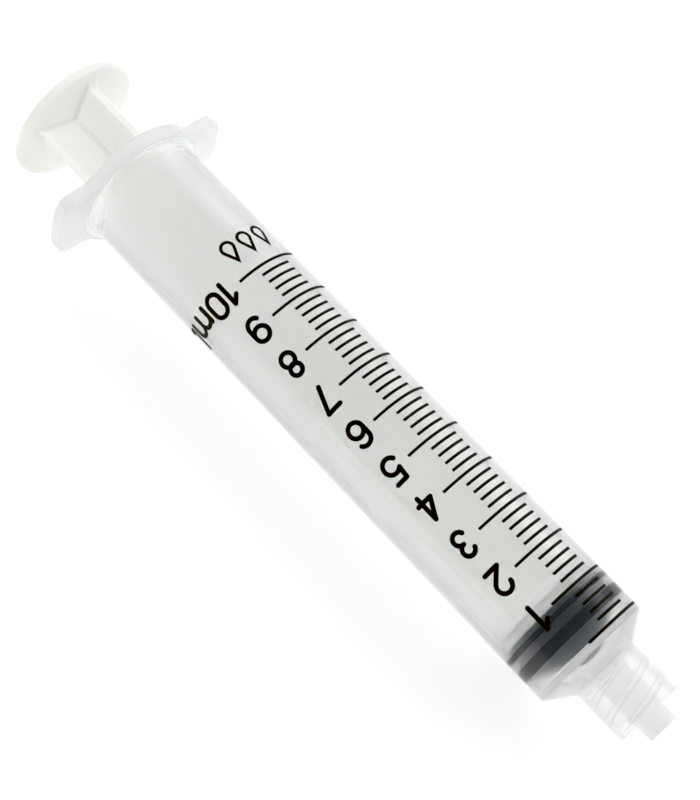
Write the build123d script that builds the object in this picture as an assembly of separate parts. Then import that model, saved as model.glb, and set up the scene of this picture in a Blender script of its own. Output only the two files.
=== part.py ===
from build123d import *
import os
from math import cos, degrees, pi, radians, sin, sqrt

# A 10 mL syringe with a lock-collar tip, lying on its finger flange and its thumb rest.
# X runs along the axis, with the tip at +X. The flange's wings lie along Y, and the
# printed scale faces +Z. The origin is on the table, under the middle of the syringe.
# Every piece is first made about the X axis, with X = 0 at the 0 mL line, and is moved
# into that frame as it is written. Millimetres and degrees.

# Barrel
CAPACITY_ML = 10
BORE_R = 7.25
WALL = 0.85
BARREL_R = BORE_R + WALL
ML = 1000 / (pi * BORE_R**2)  # length of bore that holds 1 mL

# Stations along X, from the 0 mL line
TIP_X = 12.9
COLLAR_X = 10.5
COLLAR_FLOOR_X = 3.9
SHOULDER_X = 0.9
COLLAR_ROOT_X = 3.3
FLANGE_X = -82.0
BARREL_END_X = -84.0
THUMB_FRONT_X = -95.2
THUMB_BACK_X = -96.3

# Lock collar and tapered tip
COLLAR_R = 4.57
THREAD_ROOT_R = 4.0
THREAD_CREST_R = 3.5
THREAD_LEAD = 5.0
THREAD_STARTS = 2
THREAD_ROOT_WIDTH = 1.0
THREAD_CREST_WIDTH = 0.4
THREAD_END_GAP = 0.1
TIP_R = 2.0
TIP_TAPER = 0.06  # of the diameter, per length
PASSAGE_R = 1.05
FLOOR_SLOPE = 30.0  # of the chamber's conical end and of the stopper's nose
EDGE = 0.15
SHOULDER_ROUND = 0.4
COLLAR_ROOT_ROUND = 0.5
TIP_ROOT_ROUND = 0.3
MOUTH_ROUND = 0.3

# Finger flange
FLANGE_R = 9.4
WING_R = 13.5
WING_HALF_WIDTH = 5.1
WING_BLEND = 3.5
WING_CORNER = 1.6
FLANGE_EDGE = 0.45

# Bead inside the barrel that keeps the stopper from being pulled out
BEAD_X = -80.6
BEAD_HEIGHT = 0.12
BEAD_HALF_WIDTH = 0.5

# Stopper
SEAL_R = BORE_R - 0.03
STOPPER_WAIST_R = 6.95
STOPPER_BACK_X = -6.0
STOPPER_BACK_R = 6.8
REAR_SEAL_BACK_X = -5.3
REAR_SEAL_X = -4.4
FRONT_SEAL_BACK_X = -3.55
FRONT_SEAL_X = -1.75
NOSE_RIM_R = 6.8
NOSE_TIP_R = 1.4
SEAL_EDGE = 0.2
NOSE_TIP_EDGE = 0.5

# The rod's head in the stopper's socket
FIT = 0.05
NECK_R = 2.5
HEAD_R = 3.5
HEAD_BACK_X = -4.3
HEAD_SHOULDER_X = -2.8
HEAD_FRONT_X = -1.7
HEAD_FRONT_R = 1.6

# Plunger rod
RIB_R = 6.4
RIB_THICKNESS = 1.2
RIB_INNER_FILLET = 0.6
RIB_FLARE_R = 7.4
RIB_FLARE_LENGTH = 1.4
ROD_TURN = 14.0  # of the crossed ribs, about the axis
DISC_R = 6.9
DISC_BACK_X = -8.6
DISC_FRONT_X = -7.3
BOSS_R = 4.8
THUMB_R = 9.4
THUMB_EDGE = 0.35
GRIP_RADII = (3.0, 4.6, 6.2, 7.8)
GRIP_WIDTH = 0.5
GRIP_DEPTH = 0.25

# Printing: sizes of the marks, and their places as turns from the top of the barrel
INK = 0.04
LINE = 0.38
MINORS_PER_ML = 5
MAJOR_TURNS = (-26.0, 46.0)
MINOR_TURNS = (-7.0, 27.0)
STROKE = 0.62
DIGIT_WIDTH = 2.6
DIGIT_HEIGHT = 3.9
LABEL_START_TURN = -33.8
ONE_WIDTH = 1.5
SMALL_M_WIDTH = 4.3
SMALL_M_HEIGHT = 2.9
CAPITAL_L_WIDTH = 2.2
LETTER_GAP = 0.4
TEN_START_TURN = -33.0
DROP_X = -64.3
DROP_TURNS = (-13.0, 6.0, 25.0)
DROP_R = 0.85
DROP_POINT = 2.1
DROP_LINE = 0.42

# Where the axis and the 0 mL line are in the finished frame
AXIS_Z = FLANGE_R
ZERO_X = -(TIP_X + THUMB_BACK_X) / 2
PLACE = Pos(ZERO_X, 0, AXIS_Z)


def tan_deg(angle):
    return sin(radians(angle)) / cos(radians(angle))


def turned(points, rounds=()):
    """A solid turned about the X axis from its half-section, with some of its corners rounded."""
    section = make_face(Polyline(*points, close=True))
    for corner, radius in rounds:
        nearest = section.vertices().sort_by_distance(Vector(*corner, 0))[0]
        section = fillet(nearest, radius)
    return revolve(section, Axis.X)


def tip_radius(x):
    return TIP_R + TIP_TAPER / 2 * (TIP_X - x)


# ---- barrel -------------------------------------------------------------------------

def barrel_tube():
    """Tube, shoulder, lock collar and tapered tip, with the chamber and the passage open."""
    passage_start = (BORE_R - PASSAGE_R) * tan_deg(FLOOR_SLOPE)
    bead = [
        (BEAD_X - BEAD_HALF_WIDTH, BORE_R),
        (BEAD_X, BORE_R - BEAD_HEIGHT),
        (BEAD_X + BEAD_HALF_WIDTH, BORE_R),
    ]
    outside = [
        (BARREL_END_X, BARREL_R),
        (SHOULDER_X, BARREL_R),
        (COLLAR_ROOT_X, COLLAR_R),
        (COLLAR_X, COLLAR_R),
        (COLLAR_X, THREAD_ROOT_R),
        (COLLAR_FLOOR_X, THREAD_ROOT_R),
        (COLLAR_FLOOR_X, tip_radius(COLLAR_FLOOR_X)),
        (TIP_X, TIP_R),
        (TIP_X, PASSAGE_R),
    ]
    inside = [(passage_start, PASSAGE_R), (0, BORE_R), *reversed(bead), (BARREL_END_X, BORE_R)]
    rounds = [
        ((SHOULDER_X, BARREL_R), SHOULDER_ROUND),
        ((COLLAR_ROOT_X, COLLAR_R), COLLAR_ROOT_ROUND),
        ((COLLAR_X, COLLAR_R), EDGE),
        ((TIP_X, TIP_R), EDGE),
        ((COLLAR_FLOOR_X, tip_radius(COLLAR_FLOOR_X)), TIP_ROOT_ROUND),
        ((BARREL_END_X, BORE_R), MOUTH_ROUND),
    ]
    return turned(outside + inside, rounds)


def thread():
    """The ridges inside the lock collar, one helix for each start."""
    half_root, half_crest = THREAD_ROOT_WIDTH / 2, THREAD_CREST_WIDTH / 2
    start_x = COLLAR_FLOOR_X + half_root + THREAD_END_GAP
    length = COLLAR_X - half_root - THREAD_END_GAP - start_x
    overlap_r = (THREAD_ROOT_R + COLLAR_R) / 2
    ridges = []
    for i in range(THREAD_STARTS):
        path = Helix(THREAD_LEAD, length, overlap_r, (start_x, 0, 0), (1, 0, 0))
        start = path @ 0
        outward = Vector(0, start.Y, start.Z).normalized()
        ridge_plane = Plane(start, x_dir=outward, z_dir=path % 0)
        section = ridge_plane * make_face(Polyline(
            (0, -half_root), (THREAD_ROOT_R - overlap_r, -half_root),
            (THREAD_CREST_R - overlap_r, -half_crest), (THREAD_CREST_R - overlap_r, half_crest),
            (THREAD_ROOT_R - overlap_r, half_root), (0, half_root), close=True))
        ridge = sweep(section, path=path, is_frenet=True)
        ridges.append(Rot(X=360 / THREAD_STARTS * i) * ridge)
    return ridges


def flange():
    """Round finger flange with two wings, open for the bore."""
    wings = Circle(WING_R) & Rectangle(2 * WING_R, 2 * WING_HALF_WIDTH)
    wings = fillet(wings.vertices(), WING_CORNER)
    outline = Circle(FLANGE_R) + wings
    blends = [v for v in outline.vertices() if abs(v.Y) > WING_HALF_WIDTH - 0.01]
    outline = fillet(blends, WING_BLEND)
    plate = extrude(Plane.YZ * outline, FLANGE_X - BARREL_END_X)
    plate = fillet(plate.edges(), FLANGE_EDGE)
    mouth = Rot(Y=90) * Cylinder((BORE_R + BARREL_R) / 2, 10)
    return Pos(BARREL_END_X, 0, 0) * plate - Pos(BARREL_END_X, 0, 0) * mouth


def barrel():
    body = barrel_tube() + flange()
    for ridge in thread():
        body += ridge
    return body


# ---- stopper and plunger rod --------------------------------------------------------

def stopper():
    """Rubber stopper: two sealing ribs, a conical nose, and a socket for the rod's head."""
    nose_x = FRONT_SEAL_X + (NOSE_RIM_R - NOSE_TIP_R) * tan_deg(FLOOR_SLOPE)
    neck, head = NECK_R + FIT, HEAD_R + FIT
    body = turned(
        [
            (STOPPER_BACK_X, 0), (STOPPER_BACK_X, STOPPER_BACK_R),
            (REAR_SEAL_BACK_X, SEAL_R), (REAR_SEAL_X, SEAL_R), (REAR_SEAL_X, STOPPER_WAIST_R),
            (FRONT_SEAL_BACK_X, STOPPER_WAIST_R), (FRONT_SEAL_BACK_X, SEAL_R),
            (FRONT_SEAL_X, SEAL_R), (FRONT_SEAL_X, NOSE_RIM_R),
            (nose_x, NOSE_TIP_R), (nose_x, 0),
        ],
        [
            ((STOPPER_BACK_X, STOPPER_BACK_R), SEAL_EDGE), ((REAR_SEAL_X, SEAL_R), SEAL_EDGE),
            ((FRONT_SEAL_BACK_X, SEAL_R), SEAL_EDGE), ((FRONT_SEAL_X, SEAL_R), SEAL_EDGE),
            ((nose_x, NOSE_TIP_R), NOSE_TIP_EDGE),
        ],
    )
    socket = turned([
        (STOPPER_BACK_X - 1, 0), (STOPPER_BACK_X - 1, neck), (HEAD_BACK_X - FIT, neck),
        (HEAD_BACK_X - FIT, head), (HEAD_SHOULDER_X, head),
        (HEAD_FRONT_X + FIT, HEAD_FRONT_R + FIT), (HEAD_FRONT_X + FIT, 0),
    ])
    return body - socket


def crossed_ribs():
    """Four ribs in a cross, flaring out where they meet the thumb rest."""
    wide = 2 * RIB_FLARE_R
    cross = Rectangle(wide, RIB_THICKNESS) + Rectangle(RIB_THICKNESS, wide)
    inner = [v for v in cross.vertices() if max(abs(v.X), abs(v.Y)) < RIB_THICKNESS]
    cross = fillet(inner, RIB_INNER_FILLET)
    length = DISC_BACK_X - THUMB_FRONT_X
    ribs = Pos(THUMB_FRONT_X, 0, 0) * extrude(Plane.YZ * cross, length)
    outline = turned([
        (THUMB_FRONT_X, 0), (THUMB_FRONT_X, RIB_FLARE_R),
        (THUMB_FRONT_X + RIB_FLARE_LENGTH / 3, RIB_R + (RIB_FLARE_R - RIB_R) / 4),
        (THUMB_FRONT_X + RIB_FLARE_LENGTH, RIB_R), (DISC_BACK_X, RIB_R), (DISC_BACK_X, 0),
    ])
    return Rot(X=-ROD_TURN) * (ribs & outline)


def thumb_rest():
    """Thin round disc with rings cut into its back for grip."""
    disc = turned(
        [(THUMB_BACK_X, 0), (THUMB_BACK_X, THUMB_R), (THUMB_FRONT_X, THUMB_R), (THUMB_FRONT_X, 0)],
        [((THUMB_BACK_X, THUMB_R), THUMB_EDGE), ((THUMB_FRONT_X, THUMB_R), THUMB_EDGE)],
    )
    floor_x = THUMB_BACK_X + GRIP_DEPTH
    for r in GRIP_RADII:
        low, high = r - GRIP_WIDTH / 2, r + GRIP_WIDTH / 2
        disc -= turned([(THUMB_BACK_X - 1, low), (THUMB_BACK_X - 1, high), (floor_x, high), (floor_x, low)])
    return disc


def plunger_rod():
    front = turned([
        (DISC_BACK_X, 0), (DISC_BACK_X, DISC_R), (DISC_FRONT_X, DISC_R), (DISC_FRONT_X, BOSS_R),
        (STOPPER_BACK_X - FIT, BOSS_R), (STOPPER_BACK_X - FIT, NECK_R),
        (HEAD_BACK_X, NECK_R), (HEAD_BACK_X, HEAD_R), (HEAD_SHOULDER_X, HEAD_R),
        (HEAD_FRONT_X, HEAD_FRONT_R), (HEAD_FRONT_X, 0),
    ])
    return thumb_rest() + crossed_ribs() + front


# ---- printing -----------------------------------------------------------------------
# Figures are drawn in a plane, upright, as the middle line of a round pen. Their up is
# +X on the barrel, and they are read towards -Y over its top.

def pen(*paths):
    """The mark that a round pen leaves along each path."""
    mark = SlotArc(Wire(paths[0].edges()), STROKE)
    for path in paths[1:]:
        mark += SlotArc(Wire(path.edges()), STROKE)
    return mark


def ring(radius, line=STROKE):
    return Circle(radius + line / 2) - Circle(radius - line / 2)


def digit(value):
    """A figure in a box of DIGIT_WIDTH by DIGIT_HEIGHT, centred on the origin."""
    w, h = DIGIT_WIDTH - STROKE, DIGIT_HEIGHT - STROKE
    r = w / 2
    low, high, left, right = -h / 2, h / 2, -w / 2, w / 2
    if value == 0:
        side = h - 2 * r
        outer = SlotCenterToCenter(side, w + STROKE, rotation=90)
        return outer - SlotCenterToCenter(side, w - STROKE, rotation=90)
    if value == 1:
        stem_x, flag = (ONE_WIDTH - STROKE) / 2, ONE_WIDTH - STROKE
        return pen(Polyline((stem_x - flag, high - flag), (stem_x, high), (stem_x, low)))
    if value == 2:
        tangent = 46.6
        top = CenterArc((0, high - r), r, 175, -175 - tangent)
        return pen(top, Polyline(top @ 1, (left, low), (right, low)))
    if value == 3:
        bowl = h / 4
        middle = (right - bowl) / 2
        return pen(
            CenterArc((middle, high - bowl), bowl, 160, -250),
            CenterArc((middle, low + bowl), bowl, 90, -250),
        )
    if value == 4:
        stem_x, bar_y = 0.4, low + 0.85
        return pen(
            Polyline((stem_x, low), (stem_x, high)),
            Polyline((stem_x, high), (left, bar_y), (right, bar_y)),
        )
    if value == 5:
        bowl = 1.05
        curve = CenterArc((right - bowl, low + bowl), bowl, 135, -285)
        return pen(Polyline((right - 0.1, high), (left + 0.35, high), curve @ 0), curve)
    if value == 6:
        hook = Line((left, low + r), (left, high - r)) + CenterArc((0, high - r), r, 180, -145)
        return pen(hook) + Pos(0, low + r) * ring(r)
    if value == 7:
        return pen(Polyline((left, high), (right, high), (left + 0.6, low)))
    if value == 8:
        top, bottom = 0.78, 0.92
        return Pos(0, high - top) * ring(top) + Pos(0, low + bottom) * ring(bottom)
    return Rot(Z=180) * digit(6)


def small_m():
    h = SMALL_M_HEIGHT - STROKE
    r = (SMALL_M_WIDTH - STROKE) / 4
    low = -(DIGIT_HEIGHT - STROKE) / 2
    mark = pen(Polyline((-2 * r, low), (-2 * r, low + h)))
    for middle in (-r, r):
        arch = CenterArc((middle, low + h - r), r, 180, -180) + Line(
            (middle + r, low + h - r), (middle + r, low))
        mark += pen(arch)
    return mark


def capital_l():
    h, w = DIGIT_HEIGHT - STROKE, CAPITAL_L_WIDTH - STROKE
    return pen(Polyline((-w / 2, h / 2), (-w / 2, -h / 2), (w / 2, -h / 2)))


def drop():
    """Outline of a drop with its point up."""
    def solid(radius, point):
        lean = sqrt(point**2 - radius**2)
        side = Vector(radius * lean / point, radius**2 / point)
        wedge = Polyline((0, point), (side.X, side.Y), (0, 0), (-side.X, side.Y), close=True)
        return Circle(radius) + make_face(wedge)
    half = DROP_LINE / 2
    reach = half * DROP_POINT / DROP_R
    drawn = solid(DROP_R + half, DROP_POINT + reach) - solid(DROP_R - half, DROP_POINT - reach)
    return Pos(0, DROP_R / 2 - DROP_POINT / 2) * drawn


def printed(drawing, x, turn):
    """A flat drawing laid on the barrel as a thin layer of ink, its middle at x and turn."""
    outward = Vector(0, sin(radians(turn)), cos(radians(turn)))
    reading = Vector(0, -cos(radians(turn)), sin(radians(turn)))
    under = Plane(Vector(x, 0, 0) + outward * (BARREL_R - 1), x_dir=reading, z_dir=outward)
    block = extrude(under * drawing, 2)
    skin = Pos(x, 0, 0) * Rot(Y=90) * (
        Cylinder(BARREL_R + INK, 3 * DIGIT_HEIGHT) - Cylinder(BARREL_R, 3 * DIGIT_HEIGHT))
    return (block & skin).solids()


def graduation(x, turns):
    """One printed line across the barrel, from one turn to another."""
    line = Pos(x, BARREL_R + INK / 2) * Rectangle(LINE, INK)
    arc = revolve(line, Axis.X, turns[1] - turns[0])
    # the section stands at a turn of 90, and revolving about +X takes it towards 0
    return (Rot(X=90 - turns[1]) * arc).solids()


def major_graduations():
    return [s for i in range(CAPACITY_ML + 1) for s in graduation(-i * ML, MAJOR_TURNS)]


def minor_graduations():
    steps = [i for i in range(CAPACITY_ML * MINORS_PER_ML) if i % MINORS_PER_ML]
    return [s for i in steps for s in graduation(-i * ML / MINORS_PER_ML, MINOR_TURNS)]


def turn_over(width):
    """The turn that a width takes up on the barrel."""
    return degrees(width / BARREL_R)


def numerals_and_unit():
    """The figures 1 to 10, and the unit that follows the 10."""
    figures = []
    for i in range(1, CAPACITY_ML):
        width = ONE_WIDTH if i == 1 else DIGIT_WIDTH
        figures += printed(digit(i), -i * ML, LABEL_START_TURN - turn_over(width) / 2)
    ten_x, turn = -CAPACITY_ML * ML, TEN_START_TURN
    unit = []
    for letter, width, owner in (
        (digit(1), ONE_WIDTH, figures), (digit(0), DIGIT_WIDTH, figures),
        (small_m(), SMALL_M_WIDTH, unit), (capital_l(), CAPITAL_L_WIDTH, unit),
    ):
        owner += printed(letter, ten_x, turn - turn_over(width) / 2)
        turn -= turn_over(width + LETTER_GAP)
    return figures, unit


def drops():
    return [s for turn in DROP_TURNS for s in printed(drop(), DROP_X, turn)]


# ---- the parts ----------------------------------------------------------------------

def main():
    os.makedirs("parts", exist_ok=True)
    figures, unit = numerals_and_unit()
    nodes = {
        "barrel": barrel().solids(),
        "stopper": stopper().solids(),
        "plunger_rod": plunger_rod().solids(),
        "printed_major_graduations": major_graduations(),
        "printed_minor_graduations": minor_graduations(),
        "printed_numerals": figures,
        "printed_unit": unit,
        "printed_mark": drops(),
    }
    for name, solids in nodes.items():
        placed = [PLACE * solid for solid in solids]
        whole = placed[0] if len(placed) == 1 else Compound(children=placed)
        export_step(whole, f"parts/{name}.step")
        print(name, len(solids), "solids", all(s.is_valid for s in solids))


main()
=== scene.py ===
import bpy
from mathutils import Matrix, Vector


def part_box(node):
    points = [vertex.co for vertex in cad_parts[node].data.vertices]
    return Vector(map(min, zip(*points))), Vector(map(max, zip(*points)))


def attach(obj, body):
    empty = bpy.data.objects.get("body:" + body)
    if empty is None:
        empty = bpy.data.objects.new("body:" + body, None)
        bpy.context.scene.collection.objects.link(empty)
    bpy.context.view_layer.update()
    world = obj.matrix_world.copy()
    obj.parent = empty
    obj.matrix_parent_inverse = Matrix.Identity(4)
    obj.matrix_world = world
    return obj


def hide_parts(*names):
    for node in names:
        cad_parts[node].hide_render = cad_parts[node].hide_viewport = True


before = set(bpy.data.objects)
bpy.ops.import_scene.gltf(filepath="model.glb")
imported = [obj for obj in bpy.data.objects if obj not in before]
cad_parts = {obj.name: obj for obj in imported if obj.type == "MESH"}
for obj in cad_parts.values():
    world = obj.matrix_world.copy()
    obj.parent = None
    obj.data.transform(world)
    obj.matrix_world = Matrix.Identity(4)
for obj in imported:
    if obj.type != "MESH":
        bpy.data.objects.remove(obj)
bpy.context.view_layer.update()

# A 10 mL syringe with a lock-collar tip, lying on a pale floor. Shapes are made about the
# syringe's axis in millimetres, with x = 0 at the 0 mL line and the tip at +x, and are
# moved into the frame as they become meshes.

from math import acos, atan2, cos, pi, radians, sin, tan

import bpy
import numpy as np
from mathutils import Euler, Matrix, Vector

MM = 0.001

# Barrel
BORE_R = 7.25
BARREL_R = 8.1
BARREL_END_X = -84.0
MOUTH_ROUND = 0.3
BEAD_X = -80.6
BEAD_HEIGHT = 0.12
BEAD_HALF_WIDTH = 0.5
BEAD_ROUND = 0.2
BORE_ROUND = 0.3
FLOOR_SLOPE = radians(30)
SHOULDER_X = 0.9
SHOULDER_ROUND = 0.4
EDGE = 0.15
SMALL_EDGE = 0.1

# Lock collar
COLLAR_X = 10.5
COLLAR_R = 4.57
COLLAR_ROOT_X = 3.3
COLLAR_ROOT_ROUND = 0.5
COLLAR_FLOOR_X = 3.9
COLLAR_FLOOR_ROUND = 0.08
COLLAR_FLOOR_WALL = 0.1  # plain wall next to the floor
COLLAR_MOUTH_WALL = 0.4  # plain wall at the mouth
THREAD_FIRST_RING = 0.5  # from the mouth
THREAD_ROOT_R = 4.0
THREAD_CREST_R = 3.5
THREAD_LEAD = 5.0
THREAD_STARTS = 2
THREAD_ROOT_WIDTH = 1.0
THREAD_CREST_WIDTH = 0.4
THREAD_END_GAP = 0.3
THREAD_FADE = 0.5

# Tip and passage
TIP_X = 12.9
TIP_R = 2.0
TIP_TAPER = 0.06
TIP_ROOT_ROUND = 0.3
PASSAGE_R = 1.05
PASSAGE_STEP = 0.5

# Finger flange
FLANGE_X = -82.0
FLANGE_R = 9.4
FLANGE_EDGE = 0.45
FLANGE_ROOT = 0.6
WING_R = 13.5
WING_HALF_WIDTH = 5.1
WING_BLEND = 3.5
WING_CORNER = 1.6

# How much of the light the skin scatters, where the barrel's plastic is thick
FLANGE_MILK = 0.6
COLLAR_MILK = 0.24
TIP_MILK = 0.65

# Stopper, with its seals pressed a little way into the bore's wall
SEAL_SQUEEZE = 0.01
SEAL_R = BORE_R + SEAL_SQUEEZE
SEAL_EDGE = 0.2
STOPPER_BACK_X = -6.0
STOPPER_BACK_R = 6.8
STOPPER_WAIST_R = 6.95
REAR_SEAL_BACK_X = -5.3
REAR_SEAL_X = -4.4
FRONT_SEAL_BACK_X = -3.55
FRONT_SEAL_X = -1.75
NOSE_RIM_R = 6.8
NOSE_TIP_R = 1.4
NOSE_ROUND = 0.6
RUBBER_EDGE = 0.25
WAIST_EDGE = 0.15

# Rod
FIT = 0.05
NECK_R = 2.5
HEAD_R = 3.5
HEAD_BACK_X = -4.3
HEAD_SHOULDER_X = -2.8
HEAD_FRONT_X = -1.7
HEAD_FRONT_R = 1.6
HEAD_EDGE = 0.3
ROD_TURN = radians(14)
ROD_EDGE = 0.2
RIB_R = 6.4
RIB_HALF_THICKNESS = 0.6
RIB_INNER_FILLET = 0.6
RIB_EDGE = 0.2
RIB_FLARE = 1.0
RIB_FLARE_LENGTH = 1.4
RIB_ROOT_AT_THUMB = 0.5
RIB_ROOT_AT_DISC = 0.35
RIB_LAST_GAP = 1.5
DISC_R = 6.9
DISC_BACK_X = -8.6
DISC_FRONT_X = -7.3
BOSS_R = 4.8
THUMB_R = 9.4
THUMB_EDGE = 0.35
THUMB_FRONT_X = -95.2
THUMB_BACK_X = -96.3
GRIP_RADII = (3.0, 4.6, 6.2, 7.8)
GRIP_WIDTH = 0.5
GRIP_DEPTH = 0.25
GRIP_EDGE = 0.06

# How finely the shapes are divided: lengths and angles between rings of points, numbers of
# rings, numbers of points along the outlines, and the small ring round each closing point
LONGEST_STEP = 4.0
FINE_STEP = 1.0
RUBBER_STEP = 0.6
RIB_STEP = 2.0
THREAD_STEP = 0.12
SHORTEST_STEP = 1e-4
ARC_STEP = radians(15)
MOUTH_ARC_STEP = radians(18)
RIM_RINGS = 6
FACE_RINGS = 4
FLARE_RINGS = 5
ROOT_RINGS_AT_THUMB = 7
ROOT_RINGS_AT_DISC = 6
WING_END_POINTS = 10
WING_CORNER_POINTS = 12
WING_SIDE_POINTS = 6
WING_BLEND_POINTS = 14
FLANGE_ROUND_POINTS = 54
RIB_TIP_POINTS = 4
RIB_CORNER_POINTS = 5
RIB_SIDE_POINTS = 8
RIB_FILLET_POINTS = 7
POLE_R = 0.4
FACE_WEIGHT = 80  # how much large faces count in the smoothed normals, where 50 is neutral

# The syringe's place in the frame
_, barrel_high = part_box("barrel")
stopper_low, stopper_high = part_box("stopper")
AXIS_Z = (stopper_low.z + stopper_high.z) / 2
ZERO_X = barrel_high.x - TIP_X * MM
MIDDLE = Vector((0, 0, AXIS_Z))

# Camera, in the frame's metres and in degrees
CAMERA_PLACE = (0.04736, -0.10413, 0.18343)
CAMERA_DOWN = 56.55
CAMERA_HEADING = 24.55
CAMERA_ROLL = 25.14
CAMERA_NEAREST = 0.005
LENS = 74.9
SENSOR = 36.0

# Floor, room and lights, in the frame's metres and in degrees
FLOOR_HALF = 3.0
FLOOR_COLOUR = (0.86, 0.86, 0.855, 1)
FLOOR_ROUGHNESS = 0.9
FLOOR_SHINE = 0.1
ROOM_COLOUR = (0.92, 0.965, 1.0, 1)
ROOM_DARK = 0.35
ROOM_BRIGHT = 0.9
ROOM_BRIGHT_FROM = 0.9
BACKDROP_COLOUR = (1, 1, 1, 1)
FILL_LIGHTS = {45: 0.98, 135: 0.98, 225: 1.38, 315: 1.38}  # azimuth it comes from: strength
FILL_COLOUR = (1.0, 0.985, 0.955)
FILL_ELEVATION = 32
FILL_SPREAD = 30
KEY_LIGHT = 0.5
KEY_PLACE = (0.15, 0.42, 0.40)
KEY_SIZE = (0.5, 0.3)
BLACK_LEVEL = 0.03
MOST_BOUNCES = 40
MOST_BOUNCES_INSIDE = 24

# Materials. Colours and roughnesses are pairs, the ends of a faint mottling. A pattern has
# its features per metre, its detail and its stretch. Bump heights are in metres.
EVENLY = (1, 1, 1)
MOTTLE_START = 0.3
MOTTLE_END = 0.7
PLASTIC_IOR = 1.49
CLEAR_COLOURS = ((0.98, 0.985, 0.98), (0.995, 0.995, 0.99))
MILK_COLOURS = ((0.50, 0.51, 0.51), (0.53, 0.54, 0.54))
OUTSIDE_ROUGHNESS = (0.08, 0.14)
BORE_ROUGHNESS = (0.36, 0.44)
BARREL_CLOUD = (90, 4, (0.35, 1, 1))
BARREL_RIPPLE = (260, 2, (0.15, 1, 1))
BARREL_RIPPLE_HEIGHT = 0.00003
HAZE_DENSITY = 425
HAZE_ANISOTROPY = 0.82
HAZE_COLOUR = (0.84, 0.93, 1, 1)
TINT_DENSITY = 8
TINT_COLOUR = (0.55, 0.56, 0.50, 1)
ROD_COLOURS = ((0.645, 0.645, 0.63), (0.685, 0.685, 0.675))
ROD_ROUGHNESS = (0.38, 0.5)
ROD_CLOUD = (120, 4, (0.4, 1, 1))
ROD_GRAIN = (1800, 2, EVENLY)
ROD_GLOW = 0.7
ROD_GLOW_DEPTH = 0.0015
ROD_GLOW_REACH = (1.0, 1.0, 0.9)
RUBBER_COLOURS = ((0.004, 0.004, 0.005), (0.010, 0.010, 0.011))
RUBBER_ROUGHNESS = (0.38, 0.55)
RUBBER_SHINE = 0.1
RUBBER_CLOUD = (300, 4, EVENLY)
RUBBER_GRAIN = (4000, 2, EVENLY)
INK_COLOURS = ((0.018, 0.0155, 0.012), (0.027, 0.023, 0.018))
INK_ROUGHNESS = (0.45, 0.65)
INK_SHINE = 0.15
INK_CLOUD = (1500, 3, EVENLY)
GRAIN_HEIGHT = 0.00001
MIX_SOCKETS = {"FLOAT": (2, 3, 0), "RGBA": (6, 7, 2)}  # a mix node's two inputs and its output


# ---- camera, floor and light --------------------------------------------------------

def make_camera():
    """A camera at the photograph's viewing angle."""
    data = bpy.data.cameras.new("camera")
    data.lens, data.sensor_width = LENS, SENSOR
    data.clip_start = CAMERA_NEAREST
    camera = bpy.data.objects.new("camera", data)
    bpy.context.scene.collection.objects.link(camera)
    camera.location = CAMERA_PLACE
    aim = Euler((radians(90 - CAMERA_DOWN), 0, radians(CAMERA_HEADING))).to_matrix()
    camera.rotation_euler = (aim @ Matrix.Rotation(radians(CAMERA_ROLL), 3, "Z")).to_euler()
    bpy.context.scene.camera = camera


def material(name):
    """A new material, with its nodes and links."""
    made = bpy.data.materials.new(name)
    made.use_nodes = True
    return made, made.node_tree.nodes, made.node_tree.links


def make_floor():
    """A plain pale floor at z = 0."""
    mesh = bpy.data.meshes.new("floor")
    corners = [(x * FLOOR_HALF, y * FLOOR_HALF, 0) for x, y in ((-1, -1), (1, -1), (1, 1), (-1, 1))]
    mesh.from_pydata(corners, [], [(0, 1, 2, 3)])
    floor = bpy.data.objects.new("floor", mesh)
    bpy.context.scene.collection.objects.link(floor)
    made, nodes, _ = material("pale_floor")
    shader = nodes["Principled BSDF"]
    shader.inputs["Base Color"].default_value = FLOOR_COLOUR
    shader.inputs["Roughness"].default_value = FLOOR_ROUGHNESS
    shader.inputs["Specular IOR Level"].default_value = FLOOR_SHINE
    mesh.materials.append(made)


def make_fill_light(azimuth, strength):
    """Even light from one side that casts no shadow and makes no highlight."""
    data = bpy.data.lights.new(f"fill_{azimuth}", "SUN")
    data.energy, data.color = strength, FILL_COLOUR
    data.angle = radians(FILL_SPREAD)
    data.use_shadow = False
    light = bpy.data.objects.new(f"fill_{azimuth}", data)
    bpy.context.scene.collection.objects.link(light)
    light.rotation_euler = (radians(90 - FILL_ELEVATION), 0, radians(azimuth + 90))
    light.visible_glossy = light.visible_transmission = False


def make_key_light():
    """A softbox behind the syringe, aimed at its middle."""
    data = bpy.data.lights.new("key", "AREA")
    data.shape = "RECTANGLE"
    data.size, data.size_y = KEY_SIZE
    data.energy = KEY_LIGHT
    light = bpy.data.objects.new("key", data)
    bpy.context.scene.collection.objects.link(light)
    light.location = KEY_PLACE
    light.rotation_euler = (MIDDLE - light.location).to_track_quat("-Z", "Y").to_euler()


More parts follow.
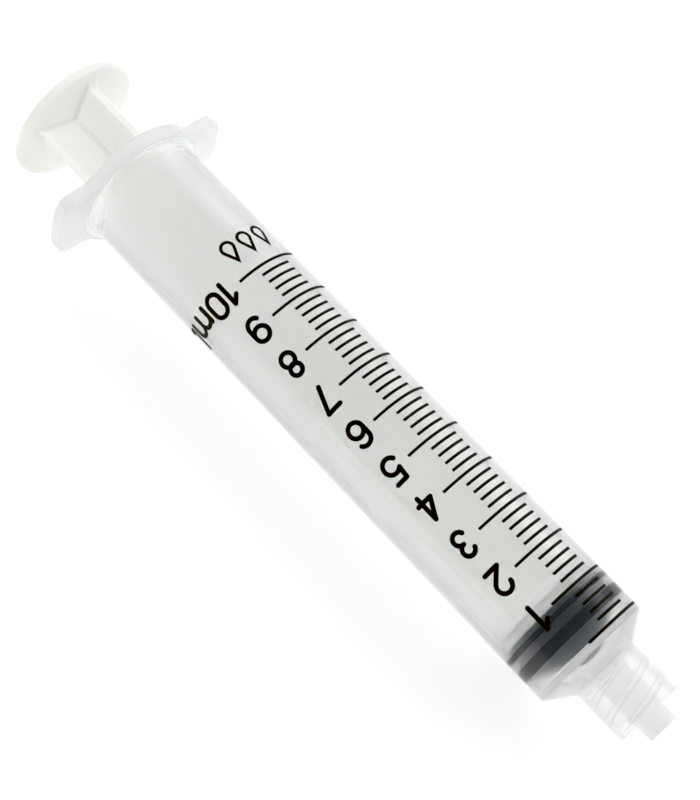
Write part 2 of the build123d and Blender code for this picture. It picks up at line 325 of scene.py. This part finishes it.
def make_world():
    """A white backdrop, and a room that is bright on the side of +Y."""
    world = bpy.data.worlds.new("studio")
    bpy.context.scene.world = world
    world.use_nodes = True
    nodes, links = world.node_tree.nodes, world.node_tree.links
    room = nodes["Background"]
    place, parts = nodes.new("ShaderNodeTexCoord"), nodes.new("ShaderNodeSeparateXYZ")
    links.new(place.outputs["Generated"], parts.inputs["Vector"])
    brightness = nodes.new("ShaderNodeMapRange")
    brightness.inputs["From Max"].default_value = ROOM_BRIGHT_FROM
    brightness.inputs["To Min"].default_value = ROOM_DARK
    brightness.inputs["To Max"].default_value = ROOM_BRIGHT
    links.new(parts.outputs["Y"], brightness.inputs["Value"])
    links.new(brightness.outputs["Result"], room.inputs["Strength"])
    room.inputs["Color"].default_value = ROOM_COLOUR
    backdrop = nodes.new("ShaderNodeBackground")
    backdrop.inputs["Color"].default_value = BACKDROP_COLOUR
    path, mix = nodes.new("ShaderNodeLightPath"), nodes.new("ShaderNodeMixShader")
    links.new(path.outputs["Is Camera Ray"], mix.inputs["Fac"])
    links.new(room.outputs["Background"], mix.inputs[1])
    links.new(backdrop.outputs["Background"], mix.inputs[2])
    links.new(mix.outputs["Shader"], nodes["World Output"].inputs["Surface"])


def set_up_view():
    """Plain tones with deep blacks, and enough bounces for light to cross the barrel's walls."""
    view = bpy.context.scene.view_settings
    view.view_transform = "Standard"
    view.use_curve_mapping = True
    view.curve_mapping.black_level = (BLACK_LEVEL,) * 3
    view.curve_mapping.update()
    cycles = bpy.context.scene.cycles
    cycles.max_bounces = MOST_BOUNCES
    cycles.transmission_bounces = cycles.volume_bounces = MOST_BOUNCES_INSIDE


# ---- mesh making --------------------------------------------------------------------

def arc(centre, radius, start, end, count):
    """Points along an arc, without its last one, as (count, 2)."""
    angles = np.linspace(start, end, count, endpoint=False)
    return np.stack([centre[0] + radius * np.cos(angles), centre[1] + radius * np.sin(angles)], axis=1)


def path_with_rounds(corners, longest=LONGEST_STEP, arc_step=ARC_STEP):
    """(x, r) points along a path. Each corner is (x, r) or (x, r, radius of its rounding)."""
    corners = [np.array(tuple(corner) + (0,) * (3 - len(corner)), float) for corner in corners]
    found = []
    for i, corner in enumerate(corners):
        here, radius = corner[:2], corner[2]
        if radius == 0 or i in (0, len(corners) - 1):
            found.append(here)
            continue
        back = corners[i - 1][:2] - here
        ahead = corners[i + 1][:2] - here
        back, ahead = back / np.linalg.norm(back), ahead / np.linalg.norm(ahead)
        half = acos(np.clip(back @ ahead, -1, 1)) / 2
        centre = here + (back + ahead) / np.linalg.norm(back + ahead) * radius / sin(half)
        first = here + back * radius / tan(half) - centre
        last = here + ahead * radius / tan(half) - centre
        turn = pi - 2 * half
        steps = max(2, int(np.ceil(turn / arc_step)))
        for k in range(steps + 1):
            t = k / steps
            blend = (sin((1 - t) * turn) * first + sin(t * turn) * last) / sin(turn)
            found.append(centre + blend)
    path = [found[0]]
    for point in found[1:]:
        gap = np.linalg.norm(point - path[-1])
        if gap < SHORTEST_STEP:
            continue
        pieces = max(1, int(np.ceil(gap / longest)))
        start = path[-1]
        path += [start + (point - start) * k / pieces for k in range(1, pieces + 1)]
    return [tuple(point) for point in path]


def circle_row(x, radii, angles):
    """A ring of points about the axis: (x, y, z) in millimetres."""
    radii = np.broadcast_to(radii, angles.shape)
    places = np.broadcast_to(x, angles.shape)
    return np.stack([places, radii * np.cos(angles), radii * np.sin(angles)], axis=1)


def outline_row(x, outline):
    """A ring of points that follows an outline in (y, z)."""
    return np.concatenate([np.full((len(outline), 1), float(x)), outline], axis=1)


def turned(corners, angles, **options):
    """Rings of a turned shape, along a path given by its corners."""
    return [circle_row(x, r, angles) for x, r in path_with_rounds(corners, **options)]


def angles_of(outline):
    """Each outline point's angle about the axis."""
    return np.arctan2(outline[:, 1], outline[:, 0])


def outline_normals(outline):
    """Outward unit normals of a closed outline that runs counter-clockwise."""
    along = np.roll(outline, -1, axis=0) - np.roll(outline, 1, axis=0)
    along /= np.linalg.norm(along, axis=1)[:, None]
    return np.stack([along[:, 1], -along[:, 0]], axis=1)


def skinned(name, rows, body, node, made_of, ring=False):
    """A mesh skinned over rings of points. Its ends are joined if ring is true, or else closed."""
    count = len(rows[0])
    points = [np.concatenate(rows)]
    faces = []
    pairs = [(k, k + 1) for k in range(len(rows) - 1)] + ([(len(rows) - 1, 0)] if ring else [])
    for a, b in pairs:
        for i in range(count):
            j = (i + 1) % count
            faces.append((a * count + i, a * count + j, b * count + j, b * count + i))
    if not ring:
        for row, flip in ((0, True), (len(rows) - 1, False)):
            pole = sum(len(group) for group in points)
            points.append(np.array([[rows[row][0][0], 0.0, 0.0]]))
            for i in range(count):
                j = (i + 1) % count
                corners = (pole, row * count + i, row * count + j)
                faces.append(corners[::-1] if flip else corners)
    places = np.concatenate(points) * MM + np.array([ZERO_X, 0, AXIS_Z])
    mesh = bpy.data.meshes.new(name)
    mesh.from_pydata(places.tolist(), [], faces)
    mesh.validate()
    mesh.update()
    mesh.materials.append(made_of)
    mesh.polygons.foreach_set("use_smooth", [True] * len(mesh.polygons))
    piece = bpy.data.objects.new(name, mesh)
    bpy.context.scene.collection.objects.link(piece)
    weighted = piece.modifiers.new("face_weighted_normals", "WEIGHTED_NORMAL")
    weighted.weight = FACE_WEIGHT
    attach(piece, body)
    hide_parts(node)
    return piece


# ---- barrel -------------------------------------------------------------------------

def flange_outline():
    """The flange's outline in (y, z), counter-clockwise, as a round plate with two blended wings."""
    corner = np.array([0.0, WING_HALF_WIDTH - WING_CORNER])
    corner[0] = np.sqrt((WING_R - WING_CORNER) ** 2 - corner[1] ** 2)
    blend = np.array([0.0, WING_HALF_WIDTH + WING_BLEND])
    blend[0] = np.sqrt((FLANGE_R + WING_BLEND) ** 2 - blend[1] ** 2)
    corner_turn, blend_turn = atan2(corner[1], corner[0]), atan2(blend[1], blend[0])
    side_start, side_end = (corner[0], WING_HALF_WIDTH), (blend[0], WING_HALF_WIDTH)
    quarter = np.concatenate([
        arc((0, 0), WING_R, 0, corner_turn, WING_END_POINTS),
        arc(corner, WING_CORNER, corner_turn, pi / 2, WING_CORNER_POINTS),
        np.linspace(side_start, side_end, WING_SIDE_POINTS, endpoint=False),
        arc(blend, WING_BLEND, -pi / 2, blend_turn - pi, WING_BLEND_POINTS),
        arc((0, 0), FLANGE_R, blend_turn, pi / 2, FLANGE_ROUND_POINTS),
    ])
    top = np.array([[0.0, FLANGE_R]])
    half = np.concatenate([quarter, top, quarter[:0:-1] * [-1, 1]])
    return np.concatenate([half, -half])


def flange_rows(outline, angles):
    """Rings from the barrel's mouth over the flange's back face, rim and front face."""
    normals = outline_normals(outline)
    rim = outline - normals * FLANGE_EDGE
    shares = np.linspace(0, 1, FACE_RINGS + 2)[1:-1]
    steps = np.linspace(0, pi / 2, RIM_RINGS)

    def face_row(x, root_r, share):
        root = circle_row(x, root_r, angles)[:, 1:]
        return outline_row(x, root + (rim - root) * share)

    def rim_row(x, step):
        return outline_row(x, outline - normals * FLANGE_EDGE * (1 - sin(step)))

    rows = turned([
        (BARREL_END_X + MOUTH_ROUND, BORE_R), (BARREL_END_X, BORE_R, MOUTH_ROUND),
        (BARREL_END_X, BARREL_R),
    ], angles, arc_step=MOUTH_ARC_STEP)
    rows += [face_row(BARREL_END_X, BARREL_R, share) for share in shares]
    rows += [rim_row(BARREL_END_X + FLANGE_EDGE * (1 - cos(step)), step) for step in steps]
    rows += [rim_row(FLANGE_X - FLANGE_EDGE * (1 - cos(step)), step) for step in steps[::-1]]
    rows += [face_row(FLANGE_X, BARREL_R + FLANGE_ROOT, share) for share in shares[::-1]]
    return rows


def thread_radii(x, angles):
    """The collar's inner wall, with its helical ridges, which fade out at both ends."""
    pitch = THREAD_LEAD / THREAD_STARTS
    phase = ((x - COLLAR_FLOOR_X) - THREAD_LEAD * angles / (2 * pi)) % pitch
    away = np.abs(phase - pitch / 2)
    flank = (THREAD_ROOT_WIDTH / 2 - away) / ((THREAD_ROOT_WIDTH - THREAD_CREST_WIDTH) / 2)
    rise = np.clip(flank, 0, 1)
    rise = rise * rise * (3 - 2 * rise)
    start, end = COLLAR_FLOOR_X + THREAD_END_GAP, COLLAR_X - 2 * THREAD_END_GAP
    ends = np.clip(min(x - start, end - x) / THREAD_FADE, 0, 1)
    return THREAD_ROOT_R - (THREAD_ROOT_R - THREAD_CREST_R) * rise * ends


def outside_rows(angles):
    """Rings over the tube, the shoulder and the collar, and back along the collar's thread."""
    rows = turned([
        (FLANGE_X, BARREL_R + FLANGE_ROOT), (FLANGE_X, BARREL_R, FLANGE_ROOT),
        (SHOULDER_X, BARREL_R, SHOULDER_ROUND), (COLLAR_ROOT_X, COLLAR_R, COLLAR_ROOT_ROUND),
        (COLLAR_X, COLLAR_R, EDGE), (COLLAR_X, THREAD_ROOT_R, EDGE),
        (COLLAR_X - COLLAR_MOUTH_WALL, THREAD_ROOT_R),
    ], angles)
    for x in np.arange(COLLAR_X - THREAD_FIRST_RING, COLLAR_FLOOR_X + COLLAR_FLOOR_WALL, -THREAD_STEP):
        rows.append(circle_row(x, thread_radii(x, angles), angles))
    return rows


def tip_radius(x):
    """The tapered tip's radius at x."""
    return TIP_R + TIP_TAPER / 2 * (TIP_X - x)


def tip_rows(angles):
    """Rings over the floor between the collar and the tip, the tapered tip and its mouth."""
    return turned([
        (COLLAR_FLOOR_X + COLLAR_FLOOR_WALL, THREAD_ROOT_R),
        (COLLAR_FLOOR_X, THREAD_ROOT_R, COLLAR_FLOOR_ROUND),
        (COLLAR_FLOOR_X, tip_radius(COLLAR_FLOOR_X), TIP_ROOT_ROUND),
        (TIP_X, TIP_R, EDGE), (TIP_X, PASSAGE_R, SMALL_EDGE), (TIP_X - PASSAGE_STEP, PASSAGE_R),
    ], angles, longest=FINE_STEP)


def bore_rows(angles):
    """Rings down the passage, over the cone inside the shoulder and along the bore to its mouth."""
    cone_x = (BORE_R - PASSAGE_R) * tan(FLOOR_SLOPE)
    return turned([
        (TIP_X - 2 * PASSAGE_STEP, PASSAGE_R), (cone_x, PASSAGE_R, SMALL_EDGE), (0, BORE_R, BORE_ROUND),
        (BEAD_X + BEAD_HALF_WIDTH, BORE_R, BEAD_ROUND), (BEAD_X, BORE_R - BEAD_HEIGHT, BEAD_ROUND),
        (BEAD_X - BEAD_HALF_WIDTH, BORE_R, BEAD_ROUND), (BARREL_END_X + 2 * MOUTH_ROUND, BORE_R),
    ], angles)


def make_barrel(plastic):
    """The barrel, whose points carry how matt and how milky the plastic is there."""
    outline = flange_outline()
    angles = angles_of(outline)
    flange, outside = flange_rows(outline, angles), outside_rows(angles)
    tip, bore = tip_rows(angles), bore_rows(angles)
    rows = flange + outside + tip + bore
    shell = skinned("barrel_shell", rows, "barrel", "barrel", plastic, ring=True)
    matt = [0] * (len(rows) - len(bore)) + [1 if row[0][0] < 0 else 0 for row in bore]
    milk = [FLANGE_MILK] * len(flange)
    milk += [COLLAR_MILK if row[0][0] > COLLAR_ROOT_X else 0 for row in outside]
    milk += [TIP_MILK] * len(tip) + [0] * len(bore)
    for name, values in (("matt", matt), ("milk", milk)):
        made = shell.data.attributes.new(name, "FLOAT", "POINT")
        made.data.foreach_set("value", np.repeat(values, len(angles)).astype(float))


# ---- stopper ------------------------------------------------------------------------

def make_stopper(rubber):
    """The stopper, from the socket for the rod's head round its back and seals to its nose."""
    nose_x = FRONT_SEAL_X + (NOSE_RIM_R - NOSE_TIP_R) * tan(FLOOR_SLOPE)
    neck, head = NECK_R + FIT, HEAD_R + FIT
    rows = turned([
        (HEAD_FRONT_X + FIT, POLE_R), (HEAD_FRONT_X + FIT, HEAD_FRONT_R + FIT, SEAL_EDGE),
        (HEAD_SHOULDER_X, head, HEAD_EDGE), (HEAD_BACK_X - FIT, head, HEAD_EDGE),
        (HEAD_BACK_X - FIT, neck, WAIST_EDGE), (STOPPER_BACK_X, neck, RUBBER_EDGE),
        (STOPPER_BACK_X, STOPPER_BACK_R, RUBBER_EDGE), (REAR_SEAL_BACK_X, SEAL_R, RUBBER_EDGE),
        (REAR_SEAL_X, SEAL_R, SEAL_EDGE), (REAR_SEAL_X, STOPPER_WAIST_R, WAIST_EDGE),
        (FRONT_SEAL_BACK_X, STOPPER_WAIST_R, WAIST_EDGE), (FRONT_SEAL_BACK_X, SEAL_R, SEAL_EDGE),
        (FRONT_SEAL_X, SEAL_R, SEAL_EDGE), (FRONT_SEAL_X, NOSE_RIM_R, SMALL_EDGE),
        (nose_x, NOSE_TIP_R, NOSE_ROUND), (nose_x, POLE_R),
    ], angles_of(flange_outline()), longest=RUBBER_STEP)
    skinned("rubber_stopper", rows, "stopper", "stopper", rubber)


# ---- plunger rod --------------------------------------------------------------------

def cross_outline(reach, spread=0.0):
    """The crossed ribs' outline in (y, z), out to reach, with spread added to each face."""
    t = RIB_HALF_THICKNESS + spread
    fillet = RIB_INNER_FILLET - spread
    centre = RIB_HALF_THICKNESS + RIB_INNER_FILLET
    edge = RIB_EDGE
    half_tip = np.linspace((reach, 0), (reach, t - edge), RIB_TIP_POINTS, endpoint=False)
    corner = arc((reach - edge, t - edge), edge, 0, pi / 2, RIB_CORNER_POINTS)
    turns = np.linspace(atan2(t, reach - edge), atan2(t, centre), RIB_SIDE_POINTS, endpoint=False)
    side = np.stack([t / np.tan(turns), np.full_like(turns, t)], axis=1)
    inner = arc((centre, centre), fillet, -pi / 2, -3 * pi / 4, RIB_FILLET_POINTS)
    middle = centre - fillet * cos(pi / 4)
    eighth = np.concatenate([half_tip, corner, side, inner, [[middle, middle]]])
    quarter = np.concatenate([eighth, eighth[-2:0:-1, ::-1]])
    quarters = [quarter]
    for _ in range(3):
        last = quarters[-1]
        quarters.append(np.stack([-last[:, 1], last[:, 0]], axis=1))
    turn = pi / 2 - ROD_TURN
    spin = np.array([[cos(turn), sin(turn)], [-sin(turn), cos(turn)]])
    return np.concatenate(quarters) @ spin


def flared_reach(x):
    """How far out the ribs reach near the thumb rest, where they flare."""
    share = (x - THUMB_FRONT_X) / RIB_FLARE_LENGTH
    return RIB_R + RIB_FLARE * (1 - share) ** 2


def rib_rows():
    """Rings along the crossed ribs, with a fillet at both ends and a flare at the thumb rest."""
    rows = []
    root = RIB_ROOT_AT_THUMB
    for step in np.linspace(0, pi / 2, ROOT_RINGS_AT_THUMB):
        spread = root * (1 - sin(step))
        x = THUMB_FRONT_X + root * (1 - cos(step))
        rows.append(outline_row(x, cross_outline(flared_reach(x) + spread / 2, spread)))
    flare_end = THUMB_FRONT_X + RIB_FLARE_LENGTH
    for x in np.linspace(THUMB_FRONT_X + root, flare_end, FLARE_RINGS + 1)[1:]:
        rows.append(outline_row(x, cross_outline(flared_reach(x))))
    for x in np.arange(flare_end + RIB_STEP, DISC_BACK_X - RIB_LAST_GAP, RIB_STEP):
        rows.append(outline_row(x, cross_outline(RIB_R)))
    root = RIB_ROOT_AT_DISC
    for step in np.linspace(0, pi / 2, ROOT_RINGS_AT_DISC):
        spread = root * (1 - cos(step))
        x = DISC_BACK_X - root * (1 - sin(step))
        rows.append(outline_row(x, cross_outline(RIB_R + spread / 3, spread)))
    return rows


def thumb_rows(angles):
    """Rings over the thumb rest, from the grip rings on its back to its front face."""
    corners = [(THUMB_BACK_X, POLE_R)]
    deep = THUMB_BACK_X + GRIP_DEPTH
    for r in GRIP_RADII:
        low, high = r - GRIP_WIDTH / 2, r + GRIP_WIDTH / 2
        corners += [(THUMB_BACK_X, low, GRIP_EDGE), (deep, low + GRIP_EDGE, GRIP_EDGE)]
        corners += [(deep, high - GRIP_EDGE, GRIP_EDGE), (THUMB_BACK_X, high, GRIP_EDGE)]
    corners += [
        (THUMB_BACK_X, THUMB_R, THUMB_EDGE), (THUMB_FRONT_X, THUMB_R, THUMB_EDGE),
        (THUMB_FRONT_X, (THUMB_R + RIB_R + RIB_FLARE) / 2),
    ]
    return turned(corners, angles, longest=FINE_STEP)


def head_rows(angles):
    """Rings over the disc, the boss, the neck and the snap-in head."""
    return turned([
        (DISC_BACK_X, (RIB_R + RIB_ROOT_AT_DISC / 3 + DISC_R) / 2), (DISC_BACK_X, DISC_R, ROD_EDGE),
        (DISC_FRONT_X, DISC_R, ROD_EDGE), (DISC_FRONT_X, BOSS_R, ROD_EDGE),
        (STOPPER_BACK_X - FIT, BOSS_R, ROD_EDGE), (STOPPER_BACK_X - FIT, NECK_R, SMALL_EDGE),
        (HEAD_BACK_X, NECK_R, SMALL_EDGE), (HEAD_BACK_X, HEAD_R, ROD_EDGE),
        (HEAD_SHOULDER_X, HEAD_R, HEAD_EDGE), (HEAD_FRONT_X, HEAD_FRONT_R, HEAD_EDGE),
        (HEAD_FRONT_X, POLE_R),
    ], angles, longest=FINE_STEP)


def make_rod(plastic):
    """The plunger rod, from its thumb rest to its head."""
    angles = angles_of(cross_outline(RIB_R))
    rows = thumb_rows(angles) + rib_rows() + head_rows(angles)
    skinned("ribbed_plunger_rod", rows, "plunger_rod", "plunger_rod", plastic)


# ---- materials ----------------------------------------------------------------------

def noise(nodes, links, pattern):
    """A noise pattern in the piece's own coordinates."""
    scale, detail, stretch = pattern
    place, mapping = nodes.new("ShaderNodeTexCoord"), nodes.new("ShaderNodeMapping")
    mapping.inputs["Scale"].default_value = stretch
    made = nodes.new("ShaderNodeTexNoise")
    made.inputs["Scale"].default_value = scale
    made.inputs["Detail"].default_value = detail
    links.new(place.outputs["Object"], mapping.inputs["Vector"])
    links.new(mapping.outputs["Vector"], made.inputs["Vector"])
    return made.outputs["Fac"]


def ramp(nodes, links, source, colours):
    """A colour between two, by a noise pattern."""
    made = nodes.new("ShaderNodeValToRGB")
    for element, place, colour in zip(made.color_ramp.elements, (MOTTLE_START, MOTTLE_END), colours):
        element.position, element.color = place, colour + (1,)
    links.new(source, made.inputs["Fac"])
    return made.outputs["Color"]


def between(nodes, links, source, ends):
    """A value between two, by a noise pattern."""
    made = nodes.new("ShaderNodeMapRange")
    made.inputs["To Min"].default_value, made.inputs["To Max"].default_value = ends
    links.new(source, made.inputs["Value"])
    return made.outputs["Result"]


def bump(nodes, links, source, height):
    """A bumped normal, by a noise pattern."""
    made = nodes.new("ShaderNodeBump")
    made.inputs["Distance"].default_value = height
    links.new(source, made.inputs["Height"])
    return made.outputs["Normal"]


def attribute(nodes, name):
    """A value that the mesh carries at its points."""
    made = nodes.new("ShaderNodeAttribute")
    made.attribute_name = name
    return made.outputs["Fac"]


def mixed(nodes, links, kind, factor, first, second):
    """A mix of two sockets, which are colours where kind is RGBA and values where it is FLOAT."""
    made = nodes.new("ShaderNodeMix")
    made.data_type = kind
    first_in, second_in, result = MIX_SOCKETS[kind]
    links.new(factor, made.inputs["Factor"])
    links.new(first, made.inputs[first_in])
    links.new(second, made.inputs[second_in])
    return made.outputs[result]


def haze_and_tint(nodes, links):
    """The volume inside the clear plastic, which scatters light forwards and tints it."""
    haze, tint = nodes.new("ShaderNodeVolumeScatter"), nodes.new("ShaderNodeVolumeAbsorption")
    haze.inputs["Density"].default_value = HAZE_DENSITY
    haze.inputs["Anisotropy"].default_value = HAZE_ANISOTROPY
    haze.inputs["Color"].default_value = HAZE_COLOUR
    tint.inputs["Density"].default_value = TINT_DENSITY
    tint.inputs["Color"].default_value = TINT_COLOUR
    inside = nodes.new("ShaderNodeAddShader")
    links.new(haze.outputs["Volume"], inside.inputs[0])
    links.new(tint.outputs["Volume"], inside.inputs[1])
    return inside.outputs["Shader"]


def clear_plastic():
    """Polypropylene that lets light through: glossy outside, matt in the bore, faintly milky."""
    made, nodes, links = material("clear_polypropylene")
    shader = nodes["Principled BSDF"]
    shader.inputs["IOR"].default_value = PLASTIC_IOR
    shader.inputs["Transmission Weight"].default_value = 1.0
    matt, milk = attribute(nodes, "matt"), attribute(nodes, "milk")
    cloud = noise(nodes, links, BARREL_CLOUD)
    clear, milky = ramp(nodes, links, cloud, CLEAR_COLOURS), ramp(nodes, links, cloud, MILK_COLOURS)
    links.new(mixed(nodes, links, "RGBA", milk, clear, milky), shader.inputs["Base Color"])
    clearness = nodes.new("ShaderNodeMath")
    clearness.operation = "SUBTRACT"
    clearness.inputs[0].default_value = 1
    links.new(milk, clearness.inputs[1])
    links.new(clearness.outputs["Value"], shader.inputs["Transmission Weight"])
    outside = between(nodes, links, cloud, OUTSIDE_ROUGHNESS)
    bore = between(nodes, links, cloud, BORE_ROUGHNESS)
    links.new(mixed(nodes, links, "FLOAT", matt, outside, bore), shader.inputs["Roughness"])
    ripple = noise(nodes, links, BARREL_RIPPLE)
    links.new(bump(nodes, links, ripple, BARREL_RIPPLE_HEIGHT), shader.inputs["Normal"])
    links.new(haze_and_tint(nodes, links), nodes["Material Output"].inputs["Volume"])
    return made


def milky_plastic():
    """Polypropylene thick enough to look white, with light spreading under its skin."""
    made, nodes, links = material("natural_polypropylene")
    shader = nodes["Principled BSDF"]
    shader.inputs["IOR"].default_value = PLASTIC_IOR
    shader.inputs["Subsurface Weight"].default_value = ROD_GLOW
    shader.inputs["Subsurface Radius"].default_value = ROD_GLOW_REACH
    shader.inputs["Subsurface Scale"].default_value = ROD_GLOW_DEPTH
    cloud = noise(nodes, links, ROD_CLOUD)
    links.new(ramp(nodes, links, cloud, ROD_COLOURS), shader.inputs["Base Color"])
    links.new(between(nodes, links, cloud, ROD_ROUGHNESS), shader.inputs["Roughness"])
    grain = noise(nodes, links, ROD_GRAIN)
    links.new(bump(nodes, links, grain, GRAIN_HEIGHT), shader.inputs["Normal"])
    return made


def black_rubber():
    """Black rubber with a fine grain."""
    made, nodes, links = material("black_rubber")
    shader = nodes["Principled BSDF"]
    shader.inputs["Specular IOR Level"].default_value = RUBBER_SHINE
    cloud = noise(nodes, links, RUBBER_CLOUD)
    links.new(ramp(nodes, links, cloud, RUBBER_COLOURS), shader.inputs["Base Color"])
    links.new(between(nodes, links, cloud, RUBBER_ROUGHNESS), shader.inputs["Roughness"])
    grain = noise(nodes, links, RUBBER_GRAIN)
    links.new(bump(nodes, links, grain, GRAIN_HEIGHT), shader.inputs["Normal"])
    return made


def printed_ink():
    """The scale's ink, a warm black."""
    made, nodes, links = material("scale_ink")
    shader = nodes["Principled BSDF"]
    shader.inputs["Specular IOR Level"].default_value = INK_SHINE
    cloud = noise(nodes, links, INK_CLOUD)
    links.new(ramp(nodes, links, cloud, INK_COLOURS), shader.inputs["Base Color"])
    links.new(between(nodes, links, cloud, INK_ROUGHNESS), shader.inputs["Roughness"])
    return made


# ---- the scene ----------------------------------------------------------------------

make_camera()
make_floor()
make_world()
for azimuth, strength in FILL_LIGHTS.items():
    make_fill_light(azimuth, strength)
make_key_light()
set_up_view()
make_barrel(clear_plastic())
make_stopper(black_rubber())
make_rod(milky_plastic())
ink = printed_ink()
for name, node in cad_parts.items():
    if name.startswith("printed_"):
        node.data.materials.clear()
        node.data.materials.append(ink)
